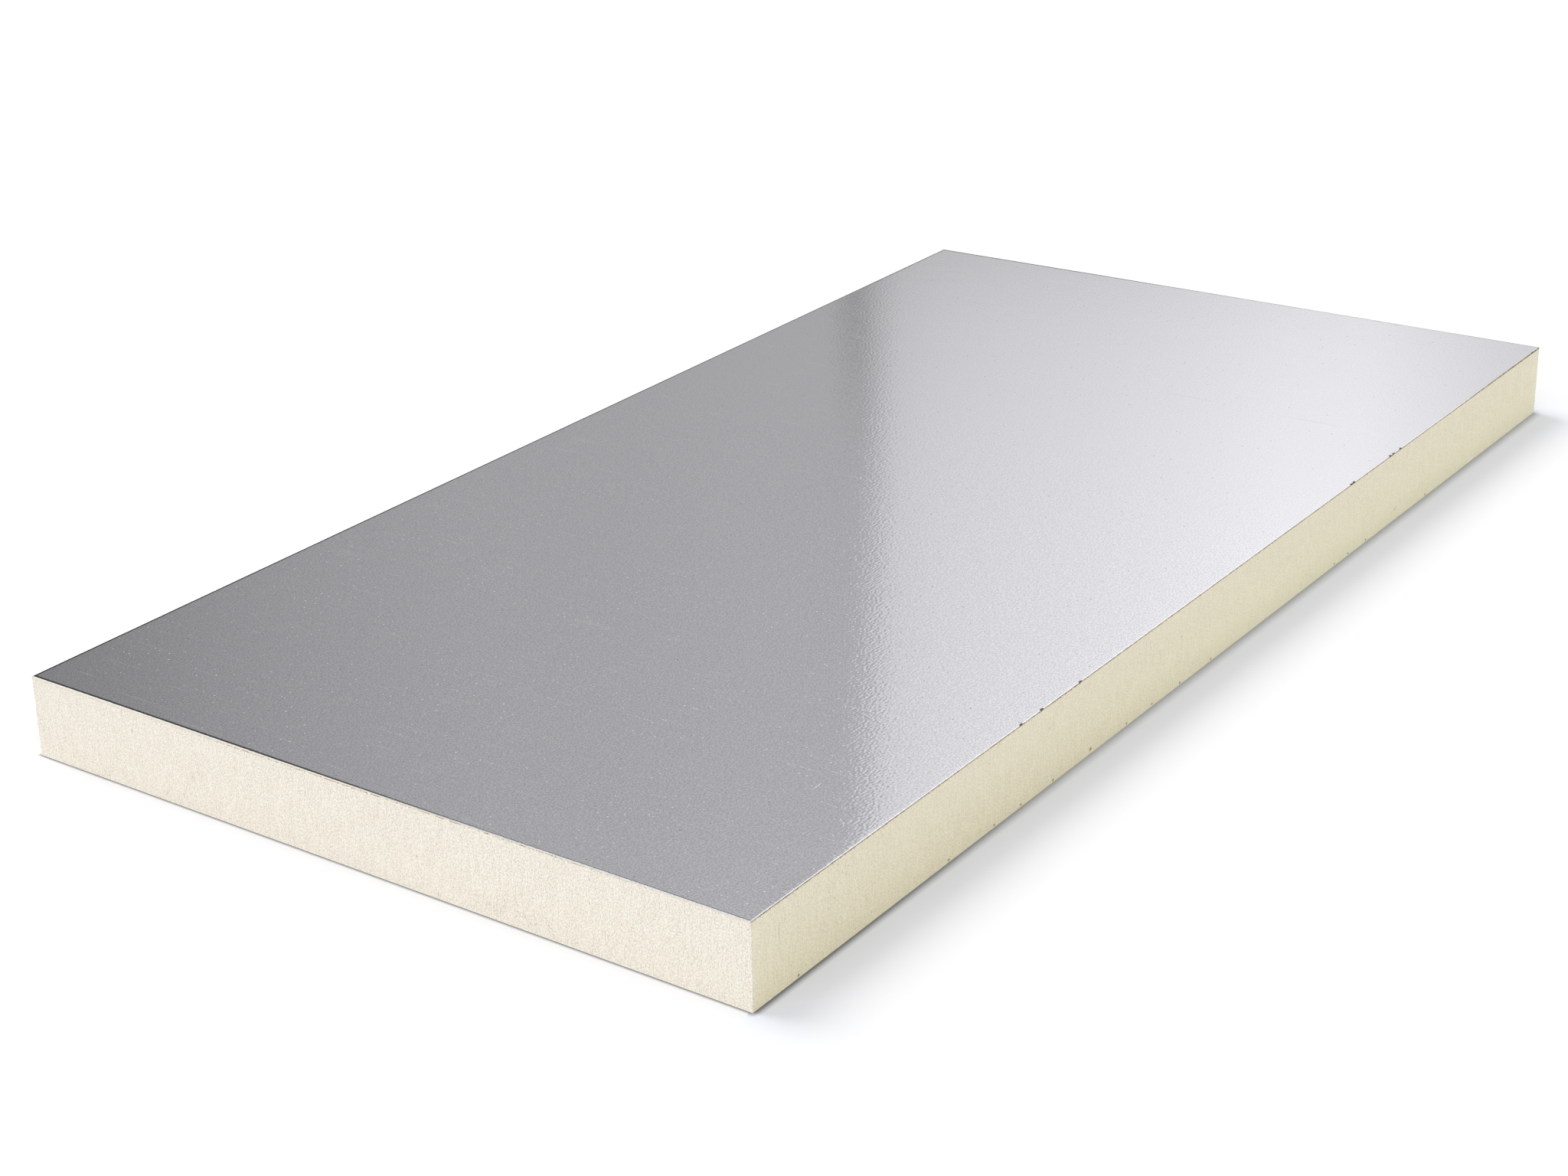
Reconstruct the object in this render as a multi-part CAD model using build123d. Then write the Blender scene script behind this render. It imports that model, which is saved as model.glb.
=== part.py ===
from build123d import *
import os

# Rigid foam insulation board, faced with foil on both broad sides, in millimetres.
# It lies flat: +X along its length, +Y across its width, +Z up through its thickness.
# The origin is the centre of the underside.

# The finished board, measured over the foil
board_length = 1200.0
board_width = 600.0
board_thickness = 60.0

# Foil and paper laminate on each broad side
facer_thickness = 0.3

# The saw rolls the upper facer down over the foam's arris: its bend outside, and how far down it reaches
rim_radius = 0.8
rim_depth = 1.5


# The whole board drawn in by an inset on every side, with its four upper arrises rounded.
# Every inset keeps the same bend centre, so the facer is equally thick all round its rim.
def board_block(inset):
    block = Pos(0, 0, board_thickness / 2) * Box(
        board_length - 2 * inset,
        board_width - 2 * inset,
        board_thickness - 2 * inset,
    )
    upper_arrises = block.edges().group_by(Axis.Z)[-1]
    return fillet(upper_arrises, rim_radius - inset)


# A shallow tray turned upside down: its rolled rim mitres at the corners and ends in a cut edge.
def top_facer():
    skin = board_block(0) - board_block(facer_thickness)
    cut_edge = Plane.XY.offset(board_thickness - rim_depth)
    return split(skin, bisect_by=cut_edge, keep=Keep.TOP)


# A plain sheet under the foam, cut off flush with its sides.
def bottom_facer():
    return Pos(0, 0, facer_thickness / 2) * Box(board_length, board_width, facer_thickness)


# The saw cuts foam and facers to one plane, so the foam fills the board between them.
# The rolled rim is pressed into it, in a shallow seat all round the upper edge.
def foam_core(upper_facer, lower_facer):
    return board_block(0) - upper_facer - lower_facer


upper = top_facer()
lower = bottom_facer()
pieces = {
    "foam_core": foam_core(upper, lower),
    "top_facer": upper,
    "bottom_facer": lower,
}

os.makedirs("parts", exist_ok=True)
for name, piece in pieces.items():
    piece.label = name
    export_step(piece, f"parts/{name}.step")
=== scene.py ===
import math

import bpy
import numpy as np
from mathutils import Matrix, Vector


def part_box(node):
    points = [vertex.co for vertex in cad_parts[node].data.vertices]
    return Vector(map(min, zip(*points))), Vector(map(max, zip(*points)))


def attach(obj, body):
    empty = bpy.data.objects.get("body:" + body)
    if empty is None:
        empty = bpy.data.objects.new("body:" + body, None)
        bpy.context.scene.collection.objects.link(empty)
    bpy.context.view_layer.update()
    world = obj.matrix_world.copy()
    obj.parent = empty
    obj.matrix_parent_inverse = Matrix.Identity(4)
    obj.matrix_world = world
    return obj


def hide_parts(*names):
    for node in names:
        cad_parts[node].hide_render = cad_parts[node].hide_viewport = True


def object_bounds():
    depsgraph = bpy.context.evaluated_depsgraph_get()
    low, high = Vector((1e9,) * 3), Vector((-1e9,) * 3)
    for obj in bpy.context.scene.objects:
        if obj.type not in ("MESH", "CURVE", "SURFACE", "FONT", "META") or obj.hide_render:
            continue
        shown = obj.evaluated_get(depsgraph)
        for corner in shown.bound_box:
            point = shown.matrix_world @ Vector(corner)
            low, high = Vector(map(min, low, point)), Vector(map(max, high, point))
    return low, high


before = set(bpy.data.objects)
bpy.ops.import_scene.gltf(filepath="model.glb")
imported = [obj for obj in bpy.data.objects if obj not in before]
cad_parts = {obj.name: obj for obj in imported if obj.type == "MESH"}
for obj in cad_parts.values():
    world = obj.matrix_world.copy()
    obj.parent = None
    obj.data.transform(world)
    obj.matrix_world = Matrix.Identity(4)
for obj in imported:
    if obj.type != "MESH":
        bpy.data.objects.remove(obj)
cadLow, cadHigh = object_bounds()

# Sizes that the frame already holds, in metres
topLow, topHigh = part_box("top_facer")
sheetLow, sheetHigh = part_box("bottom_facer")
halfLength = cadHigh.x
halfWidth = cadHigh.y
boardTop = cadHigh.z
rimBottom = topLow.z
facerThickness = sheetHigh.z - sheetLow.z
millimetre = 0.001
white = (1.0, 1.0, 1.0, 1.0)
boardSize = [round(v / millimetre) for v in (2 * halfLength, 2 * halfWidth, boardTop)]
print("frame loaded, board", boardSize, "mm")


# Small helpers that keep the node trees readable

def addNode(tree, kind, inputs=None, **settings):
    node = tree.nodes.new(kind)
    for name, value in settings.items():
        setattr(node, name, value)
    for socket, value in (inputs or {}).items():
        if isinstance(value, bpy.types.NodeSocket):
            tree.links.new(value, node.inputs[socket])
        else:
            node.inputs[socket].default_value = value
    return node


def mathOf(tree, operation, *values):
    return addNode(tree, "ShaderNodeMath", dict(enumerate(values)), operation=operation).outputs[0]


def productOf(tree, *values):
    total = values[0]
    for value in values[1:]:
        total = mathOf(tree, "MULTIPLY", total, value)
    return total


def sumOf(tree, *values):
    total = values[0]
    for value in values[1:]:
        total = mathOf(tree, "ADD", total, value)
    return total


def vectorOf(tree, operation, *values):
    return addNode(tree, "ShaderNodeVectorMath", dict(enumerate(values)), operation=operation).outputs[0]


def scaleOf(tree, vector, factor):
    return addNode(tree, "ShaderNodeVectorMath", {0: vector, "Scale": factor}, operation="SCALE").outputs[0]


def rangeOf(tree, value, start, end, low=0.0, high=1.0):
    inputs = {"Value": value, "From Min": start, "From Max": end, "To Min": low, "To Max": high}
    return addNode(tree, "ShaderNodeMapRange", inputs, interpolation_type="SMOOTHSTEP").outputs[0]


# Noise from 0 to 1 whose grains measure size along X, Y and Z, in millimetres
def grainOf(tree, place, size, detail=1.0, shift=0.0):
    scaled = vectorOf(tree, "MULTIPLY", place, tuple(1.0 / (s * millimetre) for s in size))
    moved = vectorOf(tree, "ADD", scaled, (shift, shift, shift))
    inputs = {"Vector": moved, "Scale": 1.0, "Detail": detail, "Roughness": 0.55}
    return addNode(tree, "ShaderNodeTexNoise", inputs).outputs[0]


# Noise whose grains measure one length, which may be a modifier's input
def noiseOf(tree, place, length, detail):
    inputs = {"Vector": place, "Scale": mathOf(tree, "DIVIDE", 1.0, length), "Detail": detail}
    return addNode(tree, "ShaderNodeTexNoise", inputs).outputs[0]


# How far a place lies inside the long sides and inside the ends
def insetsOf(tree, split):
    across = mathOf(tree, "SUBTRACT", halfWidth, mathOf(tree, "ABSOLUTE", split.outputs[1]))
    along = mathOf(tree, "SUBTRACT", halfLength, mathOf(tree, "ABSOLUTE", split.outputs[0]))
    return across, along


# Several marks, each times its own height in millimetres, added up
def reliefOf(tree, marks, heights):
    return sumOf(tree, *(mathOf(tree, "MULTIPLY", mark, height) for mark, height in zip(marks, heights)))


# Round marks at random points: the distance to the nearest, in millimetres, and a random number of its own
def marksOf(tree, place, spacing, shift=0.0):
    scaled = scaleOf(tree, place, 1.0 / (spacing * millimetre))
    moved = vectorOf(tree, "ADD", scaled, (shift, shift, 0.0))
    node = addNode(tree, "ShaderNodeTexVoronoi", {"Vector": moved, "Scale": 1.0}, voronoi_dimensions="2D")
    chosen = addNode(tree, "ShaderNodeSeparateXYZ", {0: node.outputs["Color"]}).outputs[0]
    return mathOf(tree, "MULTIPLY", node.outputs["Distance"], spacing), chosen


# Spots that go right through the board along one axis, from their places and half sizes along the other two
def throughSpots(axis, spots):
    def filled(pair, value):
        return (*pair[:axis], value, *pair[axis:])

    return [(filled(spot[:2], 0), filled(spot[2:], None)) for spot in spots]


# How near the closest of some long spots is: 0 at a spot's middle and 1 at its rim. Each has a middle and a
# half size along X, Y and Z, in millimetres. Where the half size is None, the spot goes right through.
def nearestSpot(tree, place, spots):
    nearest = None
    for middle, halfSize in spots:
        away = vectorOf(tree, "SUBTRACT", place, tuple(m * millimetre for m in middle))
        scale = tuple(0.0 if h is None else 1.0 / (h * millimetre) for h in halfSize)
        scaled = vectorOf(tree, "MULTIPLY", away, scale)
        length = addNode(tree, "ShaderNodeVectorMath", {0: scaled}, operation="LENGTH").outputs["Value"]
        nearest = length if nearest is None else mathOf(tree, "MINIMUM", nearest, length)
    return nearest


def mixColours(tree, factor, first, second):
    return addNode(tree, "ShaderNodeMix", {0: factor, 6: first, 7: second}, data_type="RGBA").outputs[2]


def blendOf(tree, factor, first, second):
    return addNode(tree, "ShaderNodeMix", {0: factor, 2: first, 3: second}, data_type="FLOAT").outputs[0]


def newMaterial(name):
    material = bpy.data.materials.new(name)
    material.use_nodes = True
    tree = material.node_tree
    tree.nodes.clear()
    output = tree.nodes.new("ShaderNodeOutputMaterial")
    return material, tree, output


# The camera of the photograph: found from the board's own edges, in a 2048 x 1536 frame
cameraSettings = {
    "place": (-1.747921, -1.113738, 0.863405),
    "azimuth": -51.10738,
    "elevation": 21.39037,
    "roll": -2.45704,
    "lens": 65.2604,
    "shiftX": 0.131363,
    "shiftY": -0.050259,
}


def makeCamera(s):
    azimuth, elevation, roll = (math.radians(s[k]) for k in ("azimuth", "elevation", "roll"))
    back = Vector((
        math.sin(azimuth) * math.cos(elevation),
        -math.cos(azimuth) * math.cos(elevation),
        math.sin(elevation),
    ))
    right = Vector((0, 0, 1)).cross(back).normalized()
    up = back.cross(right)
    turned = Matrix((right, up, back)).transposed() @ Matrix.Rotation(roll, 3, "Z")
    data = bpy.data.cameras.new("photoCamera")
    data.sensor_width = 36.0
    data.sensor_fit = "HORIZONTAL"
    data.lens = s["lens"]
    data.shift_x = s["shiftX"]
    data.shift_y = s["shiftY"]
    data.clip_end = 200.0
    camera = bpy.data.objects.new("photoCamera", data)
    camera.matrix_world = Matrix.Translation(s["place"]) @ turned.to_4x4()
    bpy.context.scene.collection.objects.link(camera)
    bpy.context.scene.camera = camera


makeCamera(cameraSettings)
print("camera placed")


# The studio that the foil mirrors. Each pair is a direction or a height, in degrees, and the level there.
# Directions turn from +X towards +Y. A lit panel ends beside a grey wall under a dark ceiling.
studioSettings = {
    "around": [
        (-180, 0.55), (-120, 0.42), (-62, 0.80), (-46, 0.74), (-44, 0.50), (-38, 1.15), (14, 1.15),
        (20, 0.90), (30, 0.80), (60, 0.25), (98, 0.25), (112, 0.90), (180, 0.90),
    ],
    "panel": [
        (12, 1.15), (19.5, 0.88), (21, 0.98), (22.5, 1.07), (24, 1.05), (26, 0.96), (28, 0.885), (30, 0.825),
        (31.2, 0.78), (34, 0.59),
    ],
    "wall": [
        (31, 0.50), (35, 0.486), (38, 0.456), (41, 0.441), (43, 0.416), (45, 0.388), (47, 0.351),
        (49, 0.303), (52, 0.25), (80, 0.20), (98, 0.25),
    ],
    "lean": 0.039, "leanHeight": 21.0,
    "panelLift": [
        (0, 0.30), (12, 0.45), (16, 0.667), (17, 0.755), (18, 0.813), (20, 0.872), (22, 0.904), (26, 0.952),
        (30, 1.0), (90, 1.0),
    ],
    "wallLift": [
        (0, 0.10), (6, 0.16), (12, 0.50), (15, 0.80), (18, 0.86), (22, 0.893), (25, 0.915), (28, 0.95),
        (30, 1.0), (90, 1.0),
    ],
    "panelEdge": 32.43, "panelEdgeBlur": 0.10,
    "open": [(-180, 1.0), (12, 1.0), (17, 0.0), (95, 0.0), (110, 1.0), (180, 1.0)],
    "ceiling": [
        (-180, 0.15), (-100, 0.35), (-60, 1.1), (18, 1.1), (32, 0.70), (36, 0.16), (130, 0.10), (180, 0.15),
    ],
    "ceilingStart": 30.5, "ceilingEnd": 40.0,
    "zenith": 0.50, "zenithStart": 55.0, "zenithEnd": 75.0,
    "slotDirection": 32.93, "slotWidth": 0.26, "slotDepth": 0.40, "slotBottom": 17.0, "slotTop": 21.5,
    "skyLevel": 0.67,
}


# Brightness read off a list of pairs. A ramp holds 256 steps, so fine parts have short lists of their own.
def levelRamp(tree, value, pairs):
    low, high = pairs[0][0], pairs[-1][0]
    factor = mathOf(tree, "DIVIDE", mathOf(tree, "SUBTRACT", value, low), high - low)
    node = addNode(tree, "ShaderNodeValToRGB", {0: factor})
    elements = node.color_ramp.elements
    elements[0].position, elements[1].position = 0.0, 1.0
    for position, _ in pairs[1:-1]:
        elements.new((position - low) / (high - low))
    for element, (position, level) in zip(elements, pairs):
        element.color = (level, level, level, 1.0)
    return node.outputs[0]


def makeStudio(s):
    world = bpy.data.worlds.new("studio")
    bpy.context.scene.world = world
    world.use_nodes = True
    tree = world.node_tree
    tree.nodes.clear()
    direction = addNode(tree, "ShaderNodeTexCoord").outputs["Generated"]
    split = addNode(tree, "ShaderNodeSeparateXYZ", {0: direction})
    bearing = mathOf(tree, "DEGREES", mathOf(tree, "ARCTAN2", split.outputs[1], split.outputs[0]))
    height = mathOf(tree, "DEGREES", mathOf(tree, "ARCSINE", split.outputs[2]))

    # The panel's edge leans a little, so the walls are read a little further on, higher up
    lean = mathOf(tree, "MULTIPLY", mathOf(tree, "SUBTRACT", height, s["leanHeight"]), s["lean"])
    leant = mathOf(tree, "SUBTRACT", bearing, lean)
    panel = productOf(tree, levelRamp(tree, leant, s["panel"]), levelRamp(tree, height, s["panelLift"]))
    wall = productOf(tree, levelRamp(tree, leant, s["wall"]), levelRamp(tree, height, s["wallLift"]))
    edge, blur = s["panelEdge"], s["panelEdgeBlur"]
    walls = blendOf(tree, rangeOf(tree, leant, edge - blur, edge + blur), panel, wall)
    walls = blendOf(tree, levelRamp(tree, leant, s["open"]), walls, levelRamp(tree, leant, s["around"]))

    # A dark slot between panel and wall, low down
    offset = mathOf(tree, "ABSOLUTE", mathOf(tree, "SUBTRACT", bearing, s["slotDirection"]))
    slot = rangeOf(tree, offset, 0.0, s["slotWidth"], s["slotDepth"], 0.0)
    slot = mathOf(tree, "MULTIPLY", slot, rangeOf(tree, height, s["slotBottom"], s["slotTop"], 1.0, 0.0))
    room = productOf(tree, walls, mathOf(tree, "SUBTRACT", 1.0, slot))

    ceiling = levelRamp(tree, leant, s["ceiling"])
    ceiling = blendOf(tree, rangeOf(tree, height, s["zenithStart"], s["zenithEnd"]), ceiling, s["zenith"])
    room = blendOf(tree, rangeOf(tree, height, s["ceilingStart"], s["ceilingEnd"]), room, ceiling)

    path = addNode(tree, "ShaderNodeLightPath")
    mirrored, sky, ground = (
        addNode(tree, "ShaderNodeBackground", {"Color": white, "Strength": strength}).outputs[0]
        for strength in (room, s["skyLevel"], 1.0)
    )
    lighting = addNode(tree, "ShaderNodeMixShader", {0: path.outputs["Is Glossy Ray"], 1: sky, 2: mirrored})
    seen = addNode(tree, "ShaderNodeMixShader", {
        0: path.outputs["Is Camera Ray"], 1: lighting.outputs[0], 2: ground,
    })
    addNode(tree, "ShaderNodeOutputWorld", {0: seen.outputs[0]})


# Soft lamps, each by the direction it shines from. The foil mirrors the room, not the lamps.
lampSettings = {
    "key": {"from": (0.0, 0.68, 1.0), "strength": 1.32, "spread": 34.0},
    "leftFill": {"from": (-1.0, 0.0, 1.0), "strength": 0.60, "spread": 50.0},
}


def makeLamp(name, s):
    data = bpy.data.lights.new(name, "SUN")
    data.energy = s["strength"]
    data.angle = math.radians(s["spread"])
    lamp = bpy.data.objects.new(name, data)
    lamp.rotation_mode = "QUATERNION"
    lamp.rotation_quaternion = Vector(s["from"]).to_track_quat("Z", "Y")
    lamp.visible_glossy = False
    bpy.context.scene.collection.objects.link(lamp)


# Contact: how far the board darkens the floor, in metres, and how sharply, with a thin line at its foot near
# the front corner. The foam throws warm light into its own shadow. The tinted colour takes that out of what
# the camera sees, most beside the long face.
floorSettings = {
    "reach": 30.0,
    "colour": (0.885, 0.885, 0.885, 1.0),
    "tinted": (0.860, 0.885, 0.958, 1.0),
    "tintReach": 0.060, "tintFar": 0.28, "tintEnd": 0.20, "tintBesideEnd": 0.4,
    "endContact": 0.0024, "cornerContact": 0.0060, "sideContact": 0.0090, "contactBlend": 0.003,
    "cornerSharpness": 2.1, "sideSharpness": 1.0, "cornerShare": 0.3,
    "lineStart": 0.0012, "lineEnd": 0.0032, "lineDepth": 0.20,
}


# The floor shades itself where the board stands on it, to the camera's eye alone
def makeFloor(s):
    material, tree, output = newMaterial("paleFloor")
    place = addNode(tree, "ShaderNodeTexCoord").outputs["Object"]
    split = addNode(tree, "ShaderNodeSeparateXYZ", {0: place})
    along = split.outputs[0]
    pastEnd = mathOf(tree, "SUBTRACT", mathOf(tree, "ABSOLUTE", along), halfLength)
    pastSide = mathOf(tree, "SUBTRACT", mathOf(tree, "ABSOLUTE", split.outputs[1]), halfWidth)
    outside = mathOf(tree, "MAXIMUM", pastEnd, pastSide)
    outFront = mathOf(tree, "SUBTRACT", -halfWidth, split.outputs[1])
    share = productOf(
        tree, rangeOf(tree, outside, 0.0, s["tintReach"], 1.0, s["tintFar"]),
        rangeOf(tree, outside, s["tintReach"], s["tintEnd"], 1.0, 0.0),
        rangeOf(tree, outFront, -s["contactBlend"], 0.0, s["tintBesideEnd"], 1.0),
    )
    shown = mixColours(tree, share, s["colour"], s["tinted"])
    fromCorner = (-halfLength, -s["cornerShare"] * halfLength)
    distance = sumOf(
        tree,
        rangeOf(tree, outFront, -s["contactBlend"], 0.0, s["endContact"], s["cornerContact"]),
        rangeOf(tree, along, *fromCorner, 0.0, s["sideContact"] - s["cornerContact"]),
    )
    sharpness = rangeOf(tree, along, *fromCorner, s["cornerSharpness"], s["sideSharpness"])
    contact = addNode(tree, "ShaderNodeAmbientOcclusion", {"Distance": distance}, samples=12)
    contact = mathOf(tree, "POWER", contact.outputs["AO"], sharpness)
    line = productOf(
        tree, rangeOf(tree, outside, -s["lineStart"], 0.0),
        rangeOf(tree, outside, s["lineStart"], s["lineEnd"], 1.0, 0.0),
        rangeOf(tree, along, *fromCorner, s["lineDepth"], 0.0),
    )
    contact = mathOf(tree, "MULTIPLY", contact, mathOf(tree, "SUBTRACT", 1.0, line))
    sight = addNode(tree, "ShaderNodeLightPath").outputs["Is Camera Ray"]
    colour = mixColours(tree, sight, s["colour"], scaleOf(tree, shown, contact))
    matt = addNode(tree, "ShaderNodeBsdfDiffuse", {"Color": colour})
    tree.links.new(matt.outputs[0], output.inputs[0])
    reach = s["reach"]
    mesh = bpy.data.meshes.new("floor")
    corners = [(-reach, -reach, 0), (reach, -reach, 0), (reach, reach, 0), (-reach, reach, 0)]
    mesh.from_pydata(corners, [], [(0, 1, 2, 3)])
    mesh.materials.append(material)
    floor = bpy.data.objects.new("floor", mesh)
    bpy.context.scene.collection.objects.link(floor)


makeStudio(studioSettings)
for lampName, lamp in lampSettings.items():
    makeLamp(lampName, lamp)
makeFloor(floorSettings)
print("studio, lamps and floor made")


# Closed board-shaped bodies. Each ring is (half length, half width, height), from the upper face round to
# the lower one. Both faces are closed by a coarse grid, whose outer cells take in the ring's fine points.

def ringPoints(ring, stepsX, stepsY):
    reachX, reachY, height = ring
    x = np.linspace(-reachX, reachX, stepsX + 1)
    y = np.linspace(-reachY, reachY, stepsY + 1)
    sides = [
        np.column_stack((x[:-1], np.full(stepsX, -reachY))),
        np.column_stack((np.full(stepsY, reachX), y[:-1])),
        np.column_stack((x[:0:-1], np.full(stepsX, reachY))),
        np.column_stack((np.full(stepsY, -reachX), y[:0:-1])),
    ]
    flat = np.vstack(sides)
    return np.column_stack((flat, np.full(len(flat), height)))


def ringIndex(i, j, stepsX, stepsY):
    if j == 0 and i < stepsX:
        return i
    if i == stepsX and j < stepsY:
        return stepsX + j
    if j == stepsY and i > 0:
        return 2 * stepsX + stepsY - i
    return 2 * stepsX + 2 * stepsY - j


def closeFace(ring, ringStart, firstNew, stepsX, stepsY, cell, facesUp):
    reachX, reachY, height = ring
    inner = {}
    points = []
    for i in range(cell, stepsX, cell):
        for j in range(cell, stepsY, cell):
            inner[i, j] = firstNew + len(points)
            points.append((reachX * (2 * i / stepsX - 1), reachY * (2 * j / stepsY - 1), height))

    def along(i, j, stepI, stepJ):
        onRing = (stepI and j in (0, stepsY)) or (stepJ and i in (0, stepsX))
        if not onRing:
            return [inner[i, j]] if (i, j) in inner else [ringStart + ringIndex(i, j, stepsX, stepsY)]
        spots = [(i + stepI * k, j + stepJ * k) for k in range(cell)]
        return [ringStart + ringIndex(a, b, stepsX, stepsY) for a, b in spots]

    faces = []
    for i in range(0, stepsX, cell):
        for j in range(0, stepsY, cell):
            far, high = i + cell, j + cell
            face = along(i, j, 1, 0) + along(far, j, 0, 1) + along(far, high, -1, 0) + along(i, high, 0, -1)
            faces.append(face if facesUp else face[::-1])
    return points, faces


def boardBody(name, rings, stepsX, stepsY, cell):
    count = 2 * (stepsX + stepsY)
    points = np.vstack([ringPoints(ring, stepsX, stepsY) for ring in rings])
    here = np.arange(count)
    following = (here + 1) % count
    faces = []
    for level in range(len(rings) - 1):
        upper, lower = level * count, (level + 1) * count
        quads = np.column_stack((here + upper, here + lower, following + lower, following + upper))
        faces.extend(quads.tolist())
    capPoints, capFaces = closeFace(rings[0], 0, len(points), stepsX, stepsY, cell, True)
    points = np.vstack((points, capPoints))
    faces.extend(capFaces)
    last = (len(rings) - 1) * count
    capPoints, capFaces = closeFace(rings[-1], last, len(points), stepsX, stepsY, cell, False)
    points = np.vstack((points, capPoints))
    faces.extend(capFaces)
    mesh = bpy.data.meshes.new(name)
    mesh.from_pydata(points.tolist(), [], faces)
    piece = bpy.data.objects.new(name, mesh)
    bpy.context.scene.collection.objects.link(piece)
    return piece


def pointsOf(piece):
    places = np.empty(3 * len(piece.data.vertices), np.float32)
    piece.data.vertices.foreach_get("co", places)
    return places.reshape(-1, 3)


# Writes one number for each point of the body, which its node trees read by name
def writeWeight(piece, name, weights):
    attribute = piece.data.attributes.new(name, "FLOAT", "POINT")
    attribute.data.foreach_set("value", np.asarray(weights, np.float32))


# A node tree for a modifier: its inputs are a geometry, some numbers, others by kind, and a material
def newShaper(name, numbers, **others):
    tree = bpy.data.node_groups.new(name, "GeometryNodeTree")
    kinds = {"Geometry": "NodeSocketGeometry", **dict.fromkeys(numbers, "NodeSocketFloat"), **others}
    kinds["Material"] = "NodeSocketMaterial"
    for label, kind in kinds.items():
        tree.interface.new_socket(name=label, in_out="INPUT", socket_type=kind)
    tree.interface.new_socket(name="Geometry", in_out="OUTPUT", socket_type="NodeSocketGeometry")
    return tree, tree.nodes.new("NodeGroupInput").outputs


def endShaper(tree, given, offset):
    moved = addNode(tree, "GeometryNodeSetPosition", {"Geometry": given["Geometry"], "Offset": offset})
    real = addNode(tree, "GeometryNodeRealizeInstances", {0: moved.outputs[0]})
    dressed = addNode(tree, "GeometryNodeSetMaterial", {
        "Geometry": real.outputs[0], "Material": given["Material"],
    })
    tree.links.new(dressed.outputs[0], tree.nodes.new("NodeGroupOutput").inputs[0])
    return tree


sharpAngle = 50.0  # edges bent by more degrees than this stay sharp


def shapePiece(piece, tree, values):
    modifier = piece.modifiers.new("shape", "NODES")
    modifier.node_group = tree
    for item in tree.interface.items_tree:
        if item.in_out == "INPUT" and item.name in values:
            modifier[item.identifier] = values[item.name]
    graph = bpy.context.evaluated_depsgraph_get()
    graph.update()
    shaped = bpy.data.meshes.new_from_object(piece.evaluated_get(graph))
    piece.modifiers.remove(modifier)
    piece.data = shaped
    shaped.shade_smooth()
    shaped.set_sharp_from_angle(angle=math.radians(sharpAngle))
    triangles = sum(len(p.vertices) - 2 for p in shaped.polygons)
    print(piece.name, "shaped,", triangles, "triangles")


def placeInPart(piece, node):
    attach(piece, "root")
    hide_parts(node)


# The sawn foam. Lengths in millimetres; the relief only ever cuts inwards.
foamSettings = {
    "stepsX": 1080, "stepsY": 540, "cell": 18,
    "rows": 22,
    "edgeRows": (0.5, 1.2, 2.2),
    "seatInset": 0.5,
    "seatTop": 59.2,
    "wallTop": 58.95,
    "wallBottom": 0.32,
    "undersideInset": 2.5,
    "Stroke Pitch": 2.6, "Stroke Depth": 0.10,
    "Grain Size": 4.0, "Grain Depth": 0.08,
    "Pit Density": 1400.0, "Pit Radius": 1.9, "Pit Depth": 0.45,
    "Corner Reach": 1.6, "Corner Depth": 0.10,
    "Foot Reach": 1.7, "Foot Depth": 0.04,
    "Seed": 7,
}
foamColours = {
    "pink": (0.944, 0.871, 0.698, 1.0),
    "green": (0.932, 0.874, 0.695, 1.0),
    # Grain of the body: its mean level, the contrast of cells and strokes, and the cells' share by face
    "level": 0.975, "cellContrast": 0.18, "sideCells": 1.30, "endCells": 2.00, "strokeContrast": 0.028,
    "brightest": (0.97, 0.97, 0.97),
    # Painted light: what the colour is multiplied by at the ends, low down, and at the right of the long
    # face's foot
    "endPaintedLight": (0.993, 0.997, 1.105, 1.0),
    "lowPaintedBounce": (1.0, 1.0, 0.950, 1.0),
    "footPaintedLight": (1.08, 1.08, 1.08, 1.0),
    # Painted shade in the pores and slits
    "poreShade": (0.66, 0.52, 0.31, 1.0),
    # Resin of the crumbs, and of the line under the rim, which is partly painted shade
    "resinAndSeamShade": (0.40, 0.28, 0.15, 1.0),
    "shade": (0.20, 0.14, 0.09, 1.0),
    "roughness": 0.92,
    "specular": 0.18,
    # Slits and patches of crowded pores in the left end: their places along Y and Z, then half sizes
    "endSlits": [
        (204, 44, 0.35, 1.8), (175, 6, 0.4, 2.2), (159, 9, 0.4, 2.2), (149, 25, 0.3, 2.0),
        (108, 42, 0.3, 2.4), (-47, 25, 0.8, 1.0), (-63, 3, 0.45, 1.6), (-137, 6, 0.6, 0.8),
        (-151, 9, 0.7, 0.9), (-183, 35, 0.5, 0.8),
    ],
    "poreClusters": [(-124, 10, 36, 7), (-264, 25, 22, 4)],
    # Slits and one high crumb of the long face: their places along X and Z, then half sizes
    "sideSlits": [(-572, 40, 0.3, 8.0), (299, 9, 1.6, 0.5), (301, 10.2, 0.5, 1.4)],
    "highCrumb": (-203, 2.5, 1.8, 1.3),
    # Crumbs of brown resin along the foot of the long face: their places along X, then height and half sizes
    "crumbs": (-554, -386, -330, -296, -254, -152, -115, -73, -25, 185, 210, 243, 360),
    "crumbShape": (0.9, 1.3, 0.9),
    # The line under the front rim, partly resin and partly painted shade under the foil's edge, and the
    # stretch where it is dark
    "longRim": 58.9, "longSeam": 0.60,
    "darkSeam": (-262, -256, -219, -215),
    # The dotted seam under the left rim: its middle across the board, and where it starts and ends to fade
    "seamMiddle": -30.0, "seamFade": (110.0, 210.0),
    # Relief finer than the mesh: the height of cells, strokes and holes
    "relief": (0.10, 0.04, -0.30),
}


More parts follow.
